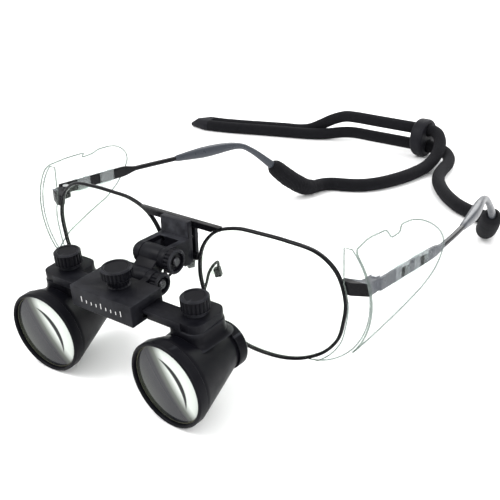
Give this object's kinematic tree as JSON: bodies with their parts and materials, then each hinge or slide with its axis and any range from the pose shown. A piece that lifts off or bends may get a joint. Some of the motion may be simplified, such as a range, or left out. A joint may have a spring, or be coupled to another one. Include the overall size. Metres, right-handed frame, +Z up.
{
  "type": "dental loupes",
  "caption": "Magnifying dental loupes that flip up on a hinge in front of a metal spectacle frame with clear side shields and a neck strap.",
  "frame": {"origin": "on the table surface, under the middle of the object without its strap cords", "axes": "+X to the wearer's left, +Y from the lenses back to the ears, +Z up"},
  "size_m": [0.2458, 0.2813, 0.0533],
  "materials": {
    "black_body": "black anodised, satin",
    "black_frame": "black paint, semi-gloss",
    "clear_lens": "clear, polished",
    "clear_shield": "clear moulded plastic, faint green edge",
    "clear_pad": "clear silicone",
    "coated_glass": "coated optical glass",
    "steel": "bright steel",
    "grey_tip": "grey metallic plastic",
    "black_cord": "knitted black cord, matt",
    "black_rubber": "satin black rubber"
  },
  "bodies": {
    "root": {"rim_left": "black_frame", "rim_right": "black_frame", "top_bar": "black_frame", "nose_bridge": "black_frame", "endpiece_left": "black_frame", "endpiece_right": "black_frame", "lens_left": "clear_lens", "lens_right": "clear_lens", "rim_screws": "steel", "temple_screw_left": "steel", "temple_screw_right": "steel", "pad_arm_left": "black_frame", "pad_arm_right": "black_frame", "pad_screws": "steel", "mount_bracket": "black_body", "clamp_plate": "black_body", "clamp_screws": "steel", "flip_pin": "steel", "strap_cord_left": "black_cord", "strap_cord_right": "black_cord", "strap_tail_upper": "black_cord", "strap_tail_lower": "black_cord", "strap_end_cap": "black_cord"},
    "pad_left": {"nose_pad_left": "clear_pad"},
    "pad_right": {"nose_pad_right": "clear_pad"},
    "temple_left": {"temple_left": "black_frame", "temple_tip_left": "grey_tip", "strap_sleeve_left": "black_cord", "side_shield_left": "clear_shield"},
    "temple_right": {"temple_right": "black_frame", "temple_tip_right": "grey_tip", "strap_sleeve_right": "black_cord", "side_shield_right": "clear_shield"},
    "flip_knob": {"flip_knob": "black_body"},
    "link": {"flip_link": "black_body", "tilt_pin": "steel"},
    "tilt_knob": {"tilt_knob": "black_body"},
    "block": {"loupe_block": "black_body"},
    "centre_knob": {"centre_knob": "black_body"},
    "arm_left": {"arm_left": "black_body"},
    "arm_right": {"arm_right": "black_body"},
    "barrel_knob_left": {"barrel_knob_left": "black_body"},
    "barrel_knob_right": {"barrel_knob_right": "black_body"},
    "barrel_left": {"barrel_left": "black_body", "bezel_left": "black_body", "objective_left": "coated_glass", "spacer_left": "black_body", "eyepiece_lens_left": "coated_glass", "eyepiece_ring_left": "black_body"},
    "barrel_right": {"barrel_right": "black_body", "bezel_right": "black_body", "objective_right": "coated_glass", "spacer_right": "black_body", "eyepiece_lens_right": "coated_glass", "eyepiece_ring_right": "black_body"},
    "slider": {"strap_slider": "black_rubber"}
  },
  "joints": [
    {"name": "temple_left_fold", "type": "hinge", "parent": "root", "child": "temple_left", "pos_m": [0.06688, -0.04362, 0.03948], "axis": [0, 0, 1], "range_deg": [0, 80]},
    {"name": "temple_right_fold", "type": "hinge", "parent": "root", "child": "temple_right", "pos_m": [-0.06688, -0.04362, 0.03948], "axis": [0, 0, -1], "range_deg": [0, 74]},
    {"name": "pad_left_rock", "type": "hinge", "parent": "root", "child": "pad_left", "pos_m": [0.00613, -0.04262, 0.02567], "axis": [-0.4067, 0.9135, 0], "range_deg": [-10, 10]},
    {"name": "pad_right_rock", "type": "hinge", "parent": "root", "child": "pad_right", "pos_m": [-0.00613, -0.04262, 0.02567], "axis": [0.4067, 0.9135, 0], "range_deg": [-10, 10]},
    {"name": "flip_up", "type": "hinge", "parent": "root", "child": "link", "pos_m": [0, -0.06582, 0.03907], "axis": [-1, 0, 0], "range_deg": [0, 85]},
    {"name": "flip_knob_turn", "type": "hinge", "parent": "root", "child": "flip_knob", "pos_m": [0.008, -0.06582, 0.03907], "axis": [1, 0, 0], "range_deg": [0, 270]},
    {"name": "tilt", "type": "hinge", "parent": "link", "child": "block", "pos_m": [0, -0.07268, 0.03399], "axis": [1, 0, 0], "range_deg": [-8, 20]},
    {"name": "tilt_knob_turn", "type": "hinge", "parent": "link", "child": "tilt_knob", "pos_m": [0.008, -0.07268, 0.03399], "axis": [1, 0, 0], "range_deg": [0, 270]},
    {"name": "centre_knob_turn", "type": "hinge", "parent": "block", "child": "centre_knob", "pos_m": [0, -0.0826, 0.03773], "axis": [0, -0.0785, 0.9969], "range_deg": [0, 270]},
    {"name": "arm_left_slide", "type": "slide", "parent": "block", "child": "arm_left", "axis": [1, 0, 0], "range_m": [-0.001, 0.007]},
    {"name": "arm_right_slide", "type": "slide", "parent": "block", "child": "arm_right", "axis": [-1, 0, 0], "range_m": [-0.001, 0.007]},
    {"name": "barrel_left_turn", "type": "hinge", "parent": "arm_left", "child": "barrel_left", "pos_m": [0.0274, -0.07815, 0.03206], "axis": [0, -0.0785, 0.9969], "range_deg": [-4, 4]},
    {"name": "barrel_right_turn", "type": "hinge", "parent": "arm_right", "child": "barrel_right", "pos_m": [-0.0274, -0.07815, 0.03206], "axis": [0, -0.0785, 0.9969], "range_deg": [-4, 4]},
    {"name": "barrel_knob_left_turn", "type": "hinge", "parent": "arm_left", "child": "barrel_knob_left", "pos_m": [0.0274, -0.07846, 0.03605], "axis": [0, -0.0785, 0.9969], "range_deg": [0, 270]},
    {"name": "barrel_knob_right_turn", "type": "hinge", "parent": "arm_right", "child": "barrel_knob_right", "pos_m": [-0.0274, -0.07846, 0.03605], "axis": [0, -0.0785, 0.9969], "range_deg": [0, 270]},
    {"name": "slider_slide", "type": "slide", "parent": "root", "child": "slider", "axis": [-1, 0, 0], "range_m": [0, 0.038]}
  ]
}
